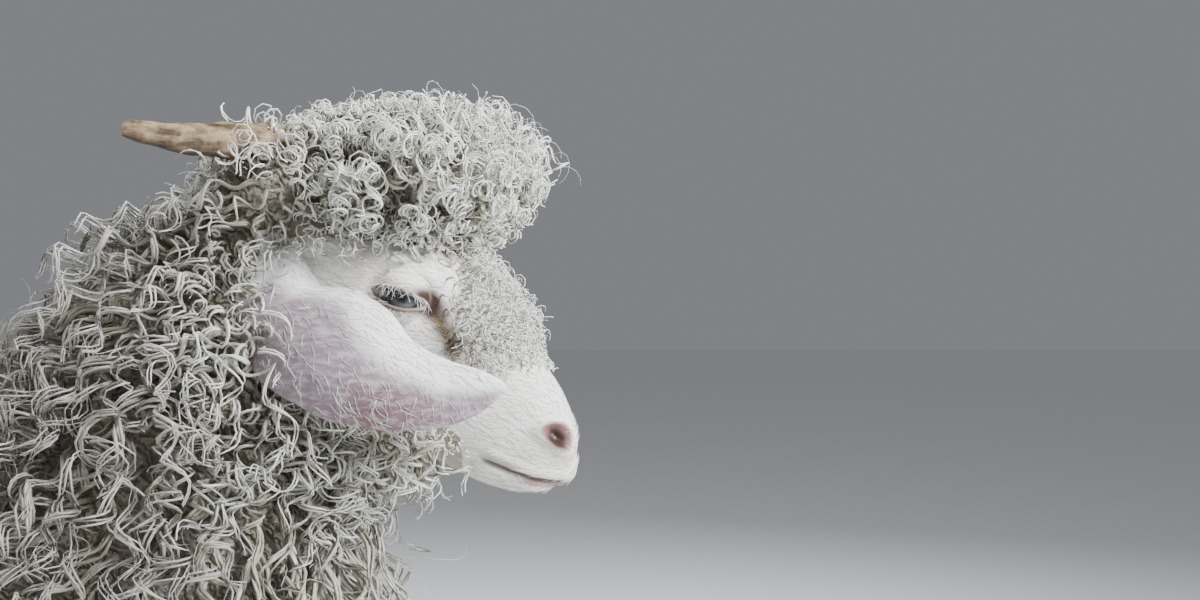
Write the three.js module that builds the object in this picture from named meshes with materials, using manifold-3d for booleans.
// A life-size angora goat standing square, its head level with its own topknot and its ears hanging forward.
// Millimetres. +X is the way the goat faces, +Y its left side and +Z up; the hooves stand on Z = 0.
import * as THREE from "three";
import { mergeVertices } from "three/addons/utils/BufferGeometryUtils.js";
import Module from "manifold-3d";

const wasm = await Module();
wasm.setup();

// Driving dimensions
const GAP = 0.3; // left between two pieces that touch
const EAR_GAP = 0.8; // left round an ear, whose thin sides bend in coarse steps
const FLEECE = { torso: 46, neck: 50, topknot: 62, cheek: 40, leg: 26, tail: 24 }; // skin to lock tips
const CORE_SHARE = 0.42; // of the fleece's depth that is one dense mass
const HEAD_TILT = THREE.MathUtils.degToRad(40); // below level, along the line from poll to nose
const NOSE_TIP = new THREE.Vector3(540, 0, 640);
const HEAD_LENGTH = 215; // poll to nose tip
const EYE = { along: 98, up: 4, side: 41.5, radius: 13 };
const HOOF = { length: 58, width: 22, height: 38, cleft: 3 };

const LEG_CUT = { fore: 262, hind: 272, pastern: HOOF.height + GAP / 2 }; // heights

// Stations along the skin, each [along, top, middle, bottom, half width]
const HEAD_STATIONS = [
  [222.5, -6, -14, -23, 14],
  [215.5, 3, -13, -35, 20.5],
  [206.5, 9.5, -12, -42, 24.5],
  [193, 16.5, -14, -48, 26.5],
  [179, 21, -15, -52, 28.5],
  [162, 26, -15, -56, 30.5],
  [143, 31, -14, -61, 34],
  [124, 35, -10, -66, 41],
  [108, 38, -5, -71, 47],
  [92, 40.5, -2, -75, 51],
  [70, 42.5, -4, -80, 52],
  [45, 42, -10, -82, 51],
  [20, 36, -16, -78, 47],
  [0, 26, -20, -68, 41],
];
// Stations of the trunk from rump to breast, each [X, top, middle, bottom, half width]
const TORSO_STATIONS = [
  [-335, 520, 480, 430, 48],
  [-305, 548, 470, 385, 84],
  [-255, 562, 455, 330, 108],
  [-190, 568, 440, 305, 118],
  [-110, 562, 430, 292, 116],
  [-20, 560, 425, 282, 122],
  [70, 566, 425, 278, 122],
  [145, 578, 430, 285, 112],
  [205, 582, 435, 300, 102],
  [262, 562, 440, 322, 86],
  [305, 520, 440, 355, 56],
];
// Stations of the neck from its root to the poll: [X, Z, depth radius, half width]
const NECK_STATIONS = [
  [200, 480, 112, 80],
  [245, 525, 96, 74],
  [288, 572, 80, 66],
  [326, 620, 68, 58],
  [358, 668, 60, 52],
  [380, 712, 54, 47],
  [394, 748, 47, 42],
  [402, 778, 34, 30],
];
// Stations of a foreleg and a hind leg from inside the body down: [X, |Y|, Z, fore-aft radius, side radius]
const FORELEG = [
  [222, 82, 392, 44, 30],
  [214, 80, 330, 36, 26],
  [212, 77, 262, 25, 20],
  [214, 76, 205, 21, 19],
  [216, 76, 182, 20, 19],
  [213, 76, 150, 14, 13],
  [211, 76, 105, 13, 12],
  [212, 76, 76, 17, 16],
  [220, 76, 54, 15, 15],
  [227, 76, 38, 20, 19],
];
const HINDLEG = [
  [-208, 80, 400, 84, 40],
  [-206, 82, 335, 68, 36],
  [-232, 82, 280, 43, 26],
  [-266, 81, 240, 27, 19],
  [-284, 80, 212, 23, 17],
  [-281, 80, 182, 18, 15],
  [-274, 80, 140, 15, 13],
  [-268, 80, 104, 15, 13],
  [-262, 80, 76, 18, 16],
  [-252, 80, 54, 16, 15],
  [-245, 80, 38, 20, 19],
];

// A small seeded random source
let seed = 7;
function random() {
  seed = (seed * 16807) % 2147483647;
  return seed / 2147483647;
}
const vary = (share) => 1 + share * (2 * random() - 1);

const vector = (x, y, z) => new THREE.Vector3(x, y, z);

// Solids from three.js geometry

function solidOf(geometry) {
  const plain = geometry.clone();
  plain.deleteAttribute("normal");
  plain.deleteAttribute("uv");
  const merged = mergeVertices(plain, 1e-4);
  const triVerts = new Uint32Array(merged.index.array);
  let made = new wasm.Manifold(
    new wasm.Mesh({ numProp: 3, vertProperties: merged.attributes.position.array, triVerts }),
  );
  if (made.volume() < 0) {
    for (let i = 0; i < triVerts.length; i += 3) {
      [triVerts[i + 1], triVerts[i + 2]] = [triVerts[i + 2], triVerts[i + 1]];
    }
    made = new wasm.Manifold(
      new wasm.Mesh({ numProp: 3, vertProperties: merged.attributes.position.array, triVerts }),
    );
  }
  return made;
}

function geometryOf(solid) {
  const { numProp, vertProperties, triVerts } = solid.getMesh();
  const positions = new Float32Array(triVerts.length * 3);
  for (let i = 0; i < triVerts.length; i += 1) {
    for (let k = 0; k < 3; k += 1) {
      positions[3 * i + k] = vertProperties[numProp * triVerts[i] + k];
    }
  }
  const geometry = new THREE.BufferGeometry();
  geometry.setAttribute("position", new THREE.BufferAttribute(positions, 3));
  geometry.computeVertexNormals();
  return geometry;
}

const union = (solids) => solids.reduce((whole, solid) => whole.add(solid));

// A sphere whose rings are moved by place(share along 0..1, angle round), poles included.
function loft(sides, rings, place) {
  const geometry = new THREE.SphereGeometry(1, sides, rings);
  const position = geometry.attributes.position;
  for (let ring = 0; ring <= rings; ring += 1) {
    for (let side = 0; side <= sides; side += 1) {
      const angle = (2 * Math.PI * (side % sides)) / sides;
      const point = place(ring / rings, angle);
      position.setXYZ(ring * (sides + 1) + side, point.x, point.y, point.z);
    }
  }
  return solidOf(geometry);
}

// Values of a table of stations at share t of its rows, on a smooth curve through them.
function between(stations, t) {
  const reach = t * (stations.length - 1);
  const row = Math.min(Math.floor(reach), stations.length - 2);
  const part = reach - row;
  const at = (k) => stations[Math.min(Math.max(k, 0), stations.length - 1)];
  return stations[0].map((_, column) => {
    const [a, b, c, d] = [at(row - 1), at(row), at(row + 1), at(row + 2)].map((s) => s[column]);
    const curve = 2 * b + (c - a) * part + (2 * a - 5 * b + 4 * c - d) * part ** 2;
    return 0.5 * (curve + (3 * b - a - 3 * c + d) * part ** 3);
  });
}

const rounded = (value, power) => Math.sign(value) * Math.abs(value) ** power;

// A point on a body section of [along, top, middle, bottom, half width], grown outwards.
function sectionPoint([along, top, middle, bottom, half], angle, grow, power) {
  const across = rounded(Math.cos(angle), power);
  const rise = rounded(Math.sin(angle), power);
  const height = (rise > 0 ? top - middle : middle - bottom) + grow;
  return vector(along, (half + grow) * across, middle + height * rise);
}

// Head frame to part frame
const headFrame = new THREE.Matrix4().makeBasis(
  vector(Math.cos(HEAD_TILT), 0, -Math.sin(HEAD_TILT)),
  vector(0, 1, 0),
  vector(Math.sin(HEAD_TILT), 0, Math.cos(HEAD_TILT)),
);
headFrame.setPosition(
  NOSE_TIP.x - HEAD_LENGTH * Math.cos(HEAD_TILT),
  0,
  NOSE_TIP.z + HEAD_LENGTH * Math.sin(HEAD_TILT),
);
const inHead = (along, side, up) => vector(along, side, up).applyMatrix4(headFrame);
const headDirection = (along, side, up) => vector(along, side, up).transformDirection(headFrame);

// Wool that covers the crown, jaw and throat, and none on the muzzle, ear roots and eyes
const HEAD_POWER = 0.86;
function headWool(along, rise) {
  const fade = (value, low, high) => THREE.MathUtils.smoothstep(value, low, high);
  const jaw = (1 - fade(along, 140, 188)) * fade(-rise, 0.4, 0.75);
  const nape = (1 - fade(along, 15, 50)) * fade(Math.abs(rise), 0.1, 0.5);
  return Math.max(jaw, nape) * CORE_SHARE * FLEECE.cheek;
}

function headSolid(sides, rings) {
  const first = HEAD_STATIONS[0];
  const last = HEAD_STATIONS[HEAD_STATIONS.length - 1];
  return loft(sides, rings, (t, angle) => {
    if (t === 0) return inHead(first[0] + 2.5, 0, first[2]);
    if (t === 1) return inHead(last[0] - 14, 0, last[2]);
    const share = (t * rings - 1) / (rings - 2);
    const station = between(HEAD_STATIONS, share);
    const spread = headWool(station[0], Math.sin(angle));
    const point = sectionPoint(station, angle, spread, HEAD_POWER);
    return inHead(point.x, point.y, point.z);
  });
}

// The skin of the head at a place along it and a height on its right or left side
function headSkin(along, up, side) {
  const columns = HEAD_STATIONS.map((s) => s[0]);
  const row = Math.max(columns.findIndex((c) => c <= along), 1);
  const share = (columns[row - 1] - along) / (columns[row - 1] - columns[row]);
  const [, top, middle, bottom, half] = between(
    HEAD_STATIONS,
    (row - 1 + THREE.MathUtils.clamp(share, 0, 1)) / (HEAD_STATIONS.length - 1),
  );
  const rise = Math.abs((up - middle) / (up > middle ? top - middle : middle - bottom));
  const across = Math.max(1 - Math.min(rise, 1) ** (2 / HEAD_POWER), 0) ** (HEAD_POWER / 2);
  return inHead(along, side * half * across, up);
}

// A tube along points, with a radius at each, closed by its end poles.
function tube(points, radii, sides, squash = 1, flat = vector(0, 1, 0)) {
  const rings = points.length + 1;
  return loft(sides, rings, (t, angle) => {
    const k = Math.round(t * rings) - 1;
    if (k < 0) return points[0];
    if (k >= points.length) return points[points.length - 1];
    const run = points[Math.min(k + 1, points.length - 1)].clone().sub(points[Math.max(k - 1, 0)]);
    const right = flat.clone().cross(run).normalize();
    const over = run.clone().cross(right).normalize();
    return points[k]
      .clone()
      .addScaledVector(right, radii[k] * Math.cos(angle))
      .addScaledVector(over, squash * radii[k] * Math.sin(angle));
  });
}

// Trunk, neck, legs and tail as dense masses

function torsoCore(grow, sides = 18) {
  const rings = TORSO_STATIONS.length + 1;
  return loft(sides, rings, (t, angle) => {
    const row = Math.round(t * rings) - 1;
    const first = TORSO_STATIONS[0];
    const last = TORSO_STATIONS[TORSO_STATIONS.length - 1];
    if (row < 0) return vector(first[0] - 8 - grow, 0, first[2]);
    if (row >= TORSO_STATIONS.length) return vector(last[0] + 14 + grow, 0, last[2]);
    return sectionPoint(TORSO_STATIONS[row], angle, grow, 0.92);
  });
}

function neckCore(grow) {
  const points = NECK_STATIONS.map(([x, , ]) => x);
  const rings = NECK_STATIONS.length + 1;
  return loft(14, rings, (t, angle) => {
    const row = THREE.MathUtils.clamp(Math.round(t * rings) - 1, 0, points.length - 1);
    const [x, z, depth, half] = NECK_STATIONS[row];
    const pole = t === 0 || t === 1;
    const [px, pz] = NECK_STATIONS[Math.max(row - 1, 0)];
    const [nx, nz] = NECK_STATIONS[Math.min(row + 1, points.length - 1)];
    const along = vector(nx - px, 0, nz - pz).normalize();
    const up = vector(-along.z, 0, along.x);
    const reach = pole ? 0 : 1;
    return vector(x, 0, z)
      .addScaledVector(up, reach * (depth + grow) * Math.sin(angle))
      .addScaledVector(vector(0, 1, 0), reach * (half + grow) * Math.cos(angle));
  });
}

function legCore(stations, side, woolTop, woolEnd) {
  const rings = stations.length + 1;
  return loft(10, rings, (t, angle) => {
    const row = THREE.MathUtils.clamp(Math.round(t * rings) - 1, 0, stations.length - 1);
    const [x, y, z, fore, wide] = stations[row];
    const wool = THREE.MathUtils.smoothstep(z, woolEnd, woolTop) * CORE_SHARE * FLEECE.leg;
    const reach = t === 0 || t === 1 ? 0 : 1;
    return vector(
      x + reach * (fore + wool) * Math.cos(angle),
      side * y + reach * (wide + wool) * Math.sin(angle),
      z,
    );
  });
}

const TAIL_LINE = [
  [-312, 532, 20],
  [-350, 552, 19],
  [-384, 576, 16],
  [-408, 600, 10],
];
function tailCore() {
  const points = TAIL_LINE.map(([x, z]) => vector(x, 0, z));
  const radii = TAIL_LINE.map(([, , r]) => r + CORE_SHARE * FLEECE.tail);
  return tube(points, radii, 10);
}

// Horns sweep back from the crown, each a ringed and tapering blade with an oval section.
const HORN_LINE = [
  [56, 19, 26],
  [40, 22, 30],
  [21, 27, 29],
  [2, 33, 23],
  [-17, 40, 11],
  [-37, 49, -5],
  [-60, 58, -19],
];
function horn(side, grow) {
  const base = 13.5;
  const curve = new THREE.CatmullRomCurve3(HORN_LINE.map(([a, s, u]) => inHead(a, side * s, u)));
  const steps = 10;
  const points = curve.getSpacedPoints(steps);
  const radii = points.map((_, k) => {
    const share = k / steps;
    const ridge = k > 1 && k < steps - 2 && k % 2 ? 1.0 : 0;
    return base * (1 - share) ** 0.52 + 2.2 + ridge + grow;
  });
  return tube(points, radii, 10, 0.8, headDirection(0, 1, 0));
}

// An ear is a broad leaf whose sides curl in towards the cheek, with a round tip and a thick root.
const EAR = { wall: 3.2, fold: 0.85 };
const EAR_LINE = [
  [33, 38, -8],
  [50, 61, -30],
  [72, 77, -33],
  [96, 85, -29],
  [122, 84, -25],
  [146, 78, -14],
  [168, 70, 6],
];
const EAR_HALF_WIDTH = [13, 23, 31, 31, 25, 18, 7];
const EAR_STEPS = 9;
function ear(side, grow) {
  const curve = new THREE.CatmullRomCurve3(EAR_LINE.map(([a, s, u]) => inHead(a, side * s, u)));
  const points = curve.getSpacedPoints(EAR_STEPS);
  const around = 16;
  return loft(around, EAR_STEPS + 2, (t, angle) => {
    const k = THREE.MathUtils.clamp(Math.round(t * (EAR_STEPS + 2)) - 1, 0, EAR_STEPS);
    const share = k / EAR_STEPS;
    const along = curve.getTangent(share);
    const outward = headDirection(-0.1, side, 0.28);
    outward.addScaledVector(along, -outward.dot(along)).normalize();
    const across = along.clone().cross(outward).normalize();
    const half = between(EAR_HALF_WIDTH.map((w) => [w]), share)[0] + grow;
    const solidRoot = 1 - THREE.MathUtils.smoothstep(share, 0.0, 0.3);
    const wall = EAR.wall / 2 + grow + 7 * solidRoot;
    const pole = t === 0 || t === 1;
    const spread = pole ? 0 : Math.cos(angle);
    const fold = EAR.fold * (1 - 0.35 * share);
    const bend = fold * spread;
    const thick = pole ? 0 : wall * rounded(Math.sin(angle), 0.7);
    const radius = half / Math.sin(fold);
    const tip = t === 0 ? -4 - grow : t === 1 ? 5 + grow : 0;
    return points[k]
      .clone()
      .addScaledVector(along, tip)
      .addScaledVector(across, (radius + thick) * Math.sin(bend))
      .addScaledVector(outward, (radius + thick) * Math.cos(bend) - radius);
  });
}

function eyeball(side, grow) {
  const geometry = new THREE.SphereGeometry(EYE.radius + grow, 12, 8);
  const centre = inHead(EYE.along, side * EYE.side, EYE.up);
  geometry.translate(centre.x, centre.y, centre.z);
  return solidOf(geometry);
}

// Upper and lower lid, two fleshy arcs that meet at the corners of an almond opening
const LID = { half: 17.5, open: 7.6, thick: 3.6, out: 9.5, slant: -0.38 };
function eyelids(side) {
  const lids = [1, -1].map((upper) => {
    const points = [];
    const radii = [];
    const steps = 6;
    for (let k = 0; k <= steps; k += 1) {
      const turn = Math.PI * (1 - k / steps);
      const along = LID.half * Math.cos(turn);
      const up = upper * LID.open * Math.sin(turn) - LID.slant * along;
      const bulge = LID.out - (along / LID.half) ** 2 * 4.5;
      points.push(inHead(EYE.along + along, side * (EYE.side + bulge), EYE.up + up));
      radii.push(LID.thick * (0.7 + 0.4 * Math.sin(turn)));
    }
    return tube(points, radii, 5, 1, headDirection(0, 0, 1));
  });
  return union(lids);
}

// Mouth line and lips: points along the muzzle's side from its front back to the corner
const MOUTH = [
  [221, -21.5],
  [212, -26],
  [199, -31],
  [185, -35],
];
function alongMouth(offset, radius, cornerRadius) {
  const right = MOUTH.map(([along, up]) => headSkin(along, up + offset, -1));
  const left = MOUTH.map(([along, up]) => headSkin(along, up + offset, 1));
  const points = [...right.toReversed(), ...left];
  const radii = points.map((_, k) => (k === 0 || k === points.length - 1 ? cornerRadius : radius));
  return tube(points, radii, 5, 1, headDirection(0, 0, 1));
}
const lips = () => union([alongMouth(3.4, 3.2, 1.4), alongMouth(-3.8, 3.6, 1.4)]);
const mouthLine = () => alongMouth(0, 1.7, 0.8);

// Nostril: a long oval opening with a raised rim, on the side of the muzzle's end
const NOSTRIL = { along: 207, up: -1, side: 20, half: 9.3, open: 4.6, rim: 3, deep: 9 };
function nostrilOval(side, half, open, deep) {
  const oval = new THREE.SphereGeometry(1, 8, 6);
  oval.scale(half, deep, open);
  oval.rotateZ(-0.42 * side);
  oval.translate(NOSTRIL.along, side * NOSTRIL.side, NOSTRIL.up);
  oval.applyMatrix4(headFrame);
  return solidOf(oval);
}

// A hoof is two claws with a cleft between them, flat below, sloped in front.
function claw(legX, legY, inner) {
  const { length, width, height, cleft } = HOOF;
  const geometry = new THREE.BoxGeometry(1, 1, 1, 4, 2, 2);
  const position = geometry.attributes.position;
  for (let i = 0; i < position.count; i += 1) {
    const [u, v, w] = [position.getX(i) + 0.5, position.getY(i), position.getZ(i) + 0.5];
    const point = 1 - 0.55 * Math.max(u - 0.45, 0) ** 1.2 * 2;
    const heel = 1 - 0.3 * Math.max(0.25 - u, 0) * 4 * Math.abs(v) * 2;
    const lean = 1 - 0.36 * w;
    const x = legX - 0.42 * length + u * length * lean * heel + 4 * w;
    const wide = width * point * (1 - 0.12 * w);
    const middle = inner * (cleft / 2 + width / 2);
    const y = legY + middle + v * wide + inner * (point - 1) * width * 0.25;
    position.setXYZ(i, x, y, w * height);
  }
  return solidOf(geometry);
}

// One rounded clump of curled locks. It leaves the skin, swells, and hangs over along the lie.
const CLUMP_SIDES = 5;
const CLUMP_RINGS = [
  { run: 0.08, out: 0.42, reach: 0.52 },
  { run: 0.36, out: 0.86, reach: 0.4 },
];
const CLUMP_TIP = { run: 0.55, out: 1 };
function clump(root, normal, lie, { length, width, depth, sink }) {
  const across = lie.clone().cross(normal).normalize();
  const at = (run, out) =>
    root
      .clone()
      .addScaledVector(lie, run * length)
      .addScaledVector(normal, out < 0 ? -sink : out * depth);
  const rings = CLUMP_RINGS.length + 1;
  return loft(CLUMP_SIDES, rings, (t, angle) => {
    const row = Math.round(t * rings) - 1;
    if (row < 0) return at(-0.1, -1);
    if (row >= CLUMP_RINGS.length) return at(CLUMP_TIP.run, CLUMP_TIP.out);
    const { run, out, reach } = CLUMP_RINGS[row];
    const tilt = 0.35 * depth * reach * Math.sin(angle);
    return at(run, out)
      .addScaledVector(across, reach * width * Math.cos(angle))
      .addScaledVector(lie, reach * length * Math.sin(angle))
      .addScaledVector(normal, -tilt);
  });
}

// Finds where a ray from outside meets a mass, and which way its surface faces there.
const caster = new THREE.Raycaster();
function surfaceOf(mass) {
  const mesh = new THREE.Mesh(geometryOf(mass), new THREE.MeshBasicMaterial());
  return (axis, direction) => {
    const far = 700;
    const from = axis.clone().addScaledVector(direction, far);
    caster.set(from, direction.clone().negate());
    caster.far = far;
    const hit = caster.intersectObject(mesh)[0];
    if (!hit) return null;
    return { point: hit.point, normal: hit.face.normal.clone().lerp(direction, 0.35).normalize() };
  };
}

// Lays one clump where the ray meets the mass, hanging along the pull as it lies on the surface.
function layClump(find, axis, direction, pull, size) {
  const hit = find(axis, direction);
  if (!hit) return null;
  const lie = pull.clone().addScaledVector(hit.normal, -pull.dot(hit.normal));
  if (lie.length() < 0.3) lie.add(vector(-0.5, 0, 0)).addScaledVector(hit.normal, 0.5 * hit.normal.x);
  const hanging = Math.max(pull.clone().normalize().dot(hit.normal), 0);
  return clump(hit.point, hit.normal, lie.normalize(), {
    length: size.length * vary(0.12) * (1 - 0.25 * hanging),
    width: size.width * vary(0.1),
    depth: size.depth * vary(0.1) * (1 + 0.7 * hanging),
    sink: size.sink,
  });
}

function torsoClumps(find) {
  const made = [];
  const rows = 7;
  const around = 9;
  for (let row = 0; row < rows; row += 1) {
    const x = THREE.MathUtils.lerp(-322, 268, row / (rows - 1));
    for (let k = 0; k < around; k += 1) {
      const turn = (2 * Math.PI * (k + 0.5 * (row % 2) + 0.15 * (random() - 0.5))) / around;
      const direction = vector(row === 0 ? -0.8 : 0, Math.cos(turn), Math.sin(turn));
      const pull = vector(-0.25, 0.5 * direction.y, -1);
      const depth = FLEECE.torso * (1 - CORE_SHARE);
      const size = { length: 106, width: 108, depth: 1.1 * depth, sink: 14 };
      const axis = vector(x + 14 * (random() - 0.5), 0, 440);
      made.push(layClump(find, axis, direction.normalize(), pull, size));
    }
  }
  return made;
}

function neckClumps(find) {
  const made = [];
  const rows = [[0.18, 8], [0.43, 7], [0.67, 7], [0.9, 5]];
  rows.forEach(([reach, around], row) => {
    const [x, z] = between(NECK_STATIONS, reach);
    for (let k = 0; k < around; k += 1) {
      const turn = (2 * Math.PI * (k + 0.5 * (row % 2) + 0.1 * (random() - 0.5))) / around;
      const up = vector(-0.836, 0, 0.549);
      const direction = vector(0, Math.cos(turn), 0).addScaledVector(up, Math.sin(turn));
      const pull = vector(-0.35, 0.25 * direction.y, -1);
      const depth = FLEECE.neck * (1 - CORE_SHARE);
      const size = { length: 100 - 30 * reach, width: 90 - 36 * reach, depth: 1.1 * depth, sink: 14 };
      made.push(layClump(find, vector(x, 0, z), direction.normalize(), pull, size));
    }
  });
  return made;
}

// The topknot falls forwards and to the sides; cheek and throat locks hang.
function topknotClumps(find) {
  const made = [];
  const rows = [
    [118, 0.5, 26, [0, 0.75, -0.75]],
    [94, 0.15, 36, [0.36, -0.36, 0.95, -0.95]],
    [64, 0.05, 36, [0, 0.7, -0.7]],
    [38, -0.2, 34, [0.38, -0.38, 0.98, -0.98]],
    [30, -1.2, 22, [0]],
  ];
  rows.forEach(([along, back, depth, leans]) => {
    leans.forEach((lean) => {
      const direction = headDirection(back, Math.sin(lean), Math.cos(lean));
      const pull = headDirection(0.9, 0.9 * Math.sin(lean), back < -1 ? 0 : -0.3);
      const size = { length: 54, width: 54, depth, sink: 14 };
      made.push(layClump(find, inHead(along, 0, 10), direction, pull, size));
    });
  });
  return made;
}

function cheekClumps(find) {
  const made = [];
  const rows = [
    [152, [2.6]],
    [120, [2.15, 2.95]],
    [84, [2.5]],
    [50, [1.95, 2.8]],
    [14, [2.3]],
  ];
  [1, -1].forEach((side) => {
    rows.forEach(([along, leans]) => {
      leans.forEach((lean) => {
        const direction = headDirection(0, side * Math.sin(lean), Math.cos(lean));
        const pull = vector(-0.15, 0.1 * side, -1);
        const depth = 1.3 * FLEECE.cheek * (1 - CORE_SHARE);
        const size = { length: 62, width: 60, depth, sink: 14 };
        made.push(layClump(find, inHead(along, 0, -18), direction, pull, size));
      });
    });
  });
  return made;
}

function legClumps(find, stations, side, heights) {
  const made = [];
  heights.forEach((z, row) => {
    const around = 4 - row;
    const below = stations.findIndex((s) => s[2] <= z);
    const [low, high] = [stations[below], stations[below - 1]];
    const share = (high[2] - z) / (high[2] - low[2]);
    const x = THREE.MathUtils.lerp(high[0], low[0], share);
    const y = side * THREE.MathUtils.lerp(high[1], low[1], share);
    for (let k = 0; k < around; k += 1) {
      const turn = (2 * Math.PI * (k + 0.5 * (row % 2))) / around;
      const direction = vector(Math.cos(turn), Math.sin(turn), 0);
      const depth = 1.3 * FLEECE.leg * (1 - CORE_SHARE);
      const size = { length: 64, width: 46, depth, sink: 10 };
      made.push(layClump(find, vector(x, y, z), direction, vector(0, 0, -1), size));
    }
  });
  return made;
}

function tailClumps(find) {
  const made = [];
  TAIL_LINE.slice(1).forEach(([x, z], row) => {
    for (let k = 0; k < 3; k += 1) {
      const turn = (2 * Math.PI * (k + 0.5 * (row % 2))) / 3;
      const direction = vector(-0.5 * Math.sin(turn), Math.cos(turn), 0.8 * Math.sin(turn)).normalize();
      const size = { length: 44, width: 38, depth: 1.2 * FLEECE.tail * (1 - CORE_SHARE), sink: 9 };
      made.push(layClump(find, vector(x, 0, z), direction, vector(-0.5, 0, -0.6), size));
    }
  });
  return made;
}

// Cuts that part the whole animal

// A big box that holds all beyond a plane through point, on the side that normal points to.
function beyond(point, normal, shift) {
  const size = 3000;
  const box = new THREE.BoxGeometry(size, size, size);
  box.translate(0, 0, size / 2 + shift);
  const turn = new THREE.Quaternion().setFromUnitVectors(vector(0, 0, 1), normal.clone().normalize());
  box.applyMatrix4(new THREE.Matrix4().compose(point, turn, vector(1, 1, 1)));
  return solidOf(box);
}

function block(low, high) {
  const box = new THREE.BoxGeometry(high.x - low.x, high.y - low.y, high.z - low.z);
  box.translate((low.x + high.x) / 2, (low.y + high.y) / 2, (low.z + high.z) / 2);
  return solidOf(box);
}

// The largest closed surface of a solid
function largest(solid) {
  const pieces = solid.decompose();
  return pieces.reduce((best, piece) => (piece.volume() > best.volume() ? piece : best));
}

const TOPKNOT = { along: 64, half: 70, width: 58, up: 36, rise: 8 };
const NAPE_CUT = { point: vector(346, 0, 750), normal: vector(1, 0, 0) };
const JAW_CUT = { point: vector(345, 0, 640), normal: vector(0.436, 0, 0.9) };
const NECK_CUT = { point: vector(262, 0, 512), normal: vector(0.8, 0, 0.6) };
const TAIL_CUT = { point: vector(-352, 0, 560), normal: vector(-0.85, 0, 0.53) };

const forelegs = [1, -1].map((side) => legCore(FORELEG, side, 300, 150));
const hindlegs = [1, -1].map((side) => legCore(HINDLEG, side, 300, 170));
const torsoMass = union([torsoCore(CORE_SHARE * FLEECE.torso), ...forelegs, ...hindlegs]);
const trunk = torsoMass.intersect(block(vector(-500, -300, LEG_CUT.hind), vector(500, 300, 900)));
const neckMass = neckCore(CORE_SHARE * FLEECE.neck);
const skull = headSolid(16, 16);
const topknotMass = loft(12, 7, (t, angle) => {
  const along = TOPKNOT.along + TOPKNOT.half * Math.cos(Math.PI * t);
  const reach = Math.sin(Math.PI * t);
  const rise = TOPKNOT.rise + CORE_SHARE * FLEECE.topknot;
  return inHead(along, TOPKNOT.width * reach * Math.cos(angle), TOPKNOT.up + rise * reach * Math.sin(angle));
});
const headMass = union([skull, topknotMass]);
const tailMass = tailCore();

const woolly = [
  ...torsoClumps(surfaceOf(trunk)),
  ...neckClumps(surfaceOf(neckMass)),
  ...topknotClumps(surfaceOf(headMass)),
  ...cheekClumps(surfaceOf(headMass)),
  ...[1, -1].flatMap((side, k) => [
    ...legClumps(surfaceOf(forelegs[k]), FORELEG, side, [236, 172]),
    ...legClumps(surfaceOf(hindlegs[k]), HINDLEG, side, [252, 192]),
  ]),
  ...tailClumps(surfaceOf(tailMass)),
].filter(Boolean);

let whole = union([torsoMass, neckMass, headMass, tailMass, ...woolly]);
for (const side of [1, -1]) {
  whole = whole.add(eyelids(side));
  whole = whole.subtract(eyeball(side, GAP));
  whole = whole.subtract(horn(side, GAP));
  whole = whole.subtract(ear(side, EAR_GAP));
}

// The face is bare, so no wool hangs over its features
whole = whole.add(lips()).subtract(mouthLine());
for (const side of [1, -1]) {
  const { half: long, open, rim, deep } = NOSTRIL;
  whole = whole.add(nostrilOval(side, long + rim, open + rim, 0.45 * deep));
  whole = whole.subtract(nostrilOval(side, long, open, deep));
}

const half = GAP / 2;
const headRegion = (shift) =>
  beyond(NAPE_CUT.point, NAPE_CUT.normal, shift).intersect(
    beyond(JAW_CUT.point, JAW_CUT.normal, shift),
  );
const aboveNeck = beyond(NECK_CUT.point, NECK_CUT.normal, half);
const belowNeck = beyond(NECK_CUT.point, NECK_CUT.normal.clone().negate(), half);
const behindTail = beyond(TAIL_CUT.point, TAIL_CUT.normal, half);
const beforeTail = beyond(TAIL_CUT.point, TAIL_CUT.normal.clone().negate(), half);

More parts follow.
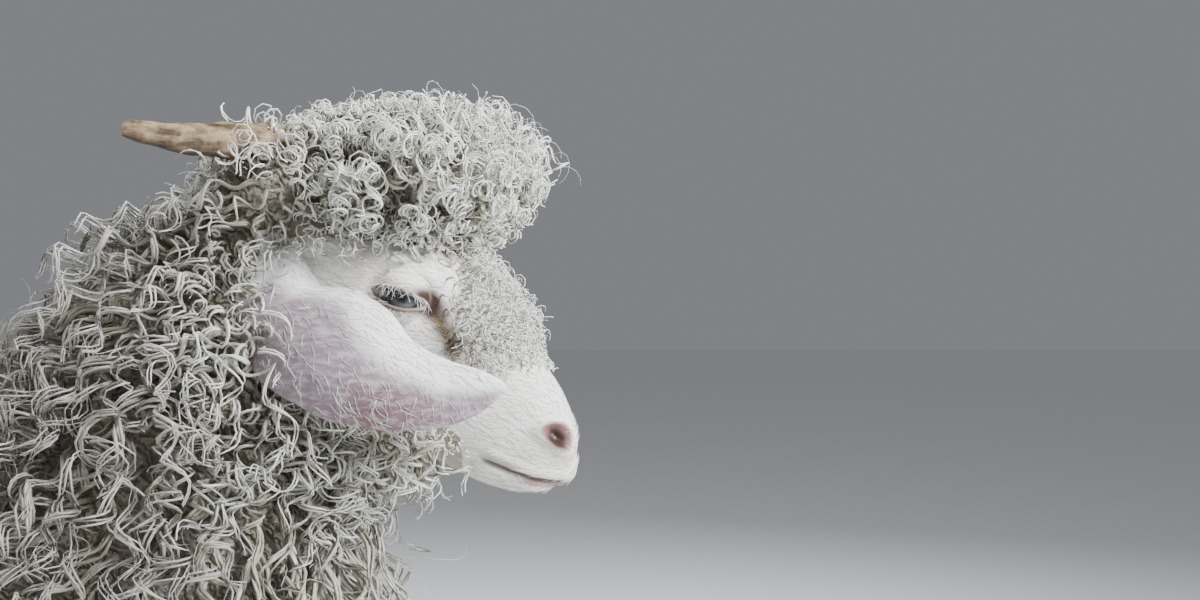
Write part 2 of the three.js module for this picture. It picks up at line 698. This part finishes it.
function legRegion(fore, side, inset) {
  const [back, front] = fore ? [110, 360] : [-420, -140];
  const top = fore ? LEG_CUT.fore : LEG_CUT.hind;
  const inner = 12 + inset;
  const outer = 320;
  return block(
    vector(back + inset, side > 0 ? inner : -outer, LEG_CUT.pastern + half),
    vector(front - inset, side > 0 ? outer : -inner, top - inset),
  );
}

const rest = whole.subtract(headRegion(-half));
let torso = rest.intersect(belowNeck).intersect(beforeTail);
const legs = {};
for (const fore of [true, false]) {
  for (const side of [1, -1]) {
    const name = `${fore ? "foreleg" : "hindleg"}_${side > 0 ? "left" : "right"}`;
    legs[name] = largest(torso.intersect(legRegion(fore, side, half)));
    torso = torso.subtract(legRegion(fore, side, -half));
  }
}

// Materials
const finish = (color, roughness, metalness = 0) =>
  new THREE.MeshStandardMaterial({ color, roughness, metalness });
const fleece = finish(0xd9d8cf, 0.9);
const hide = finish(0xe6dfd8, 0.8);
const keratin = finish(0xa58a70, 0.55);
const cornea = finish(0x3a4a52, 0.1);
const hoofHorn = finish(0x5e5348, 0.6);

const goat = new THREE.Group();
const body = new THREE.Group();
goat.add(body);
function place(name, solid, material) {
  const mesh = new THREE.Mesh(geometryOf(largest(solid)), material);
  mesh.name = name;
  body.add(mesh);
}

place("head", whole.intersect(headRegion(half)), fleece);
place("neck", rest.intersect(aboveNeck), fleece);
place("torso", torso, fleece);
place("tail", rest.intersect(behindTail), fleece);
for (const [name, solid] of Object.entries(legs)) place(name, solid, fleece);
for (const side of [1, -1]) {
  const hand = side > 0 ? "left" : "right";
  place(`ear_${hand}`, ear(side, 0), hide);
  place(`horn_${hand}`, horn(side, 0), keratin);
  place(`eye_${hand}`, eyeball(side, 0), cornea);
  for (const [where, stations] of [["fore", FORELEG], ["hind", HINDLEG]]) {
    const [x, y] = stations[stations.length - 1];
    place(`hoof_${where}_${hand}_outer`, claw(x, side * y, side), hoofHorn);
    place(`hoof_${where}_${hand}_inner`, claw(x, side * y, -side), hoofHorn);
  }
}

// Stands the goat over the middle of its own outline
const outline = new THREE.Box3().setFromObject(body);
const centre = outline.getCenter(vector(0, 0, 0));
body.position.set(-centre.x, -centre.y, 0);

export default goat;
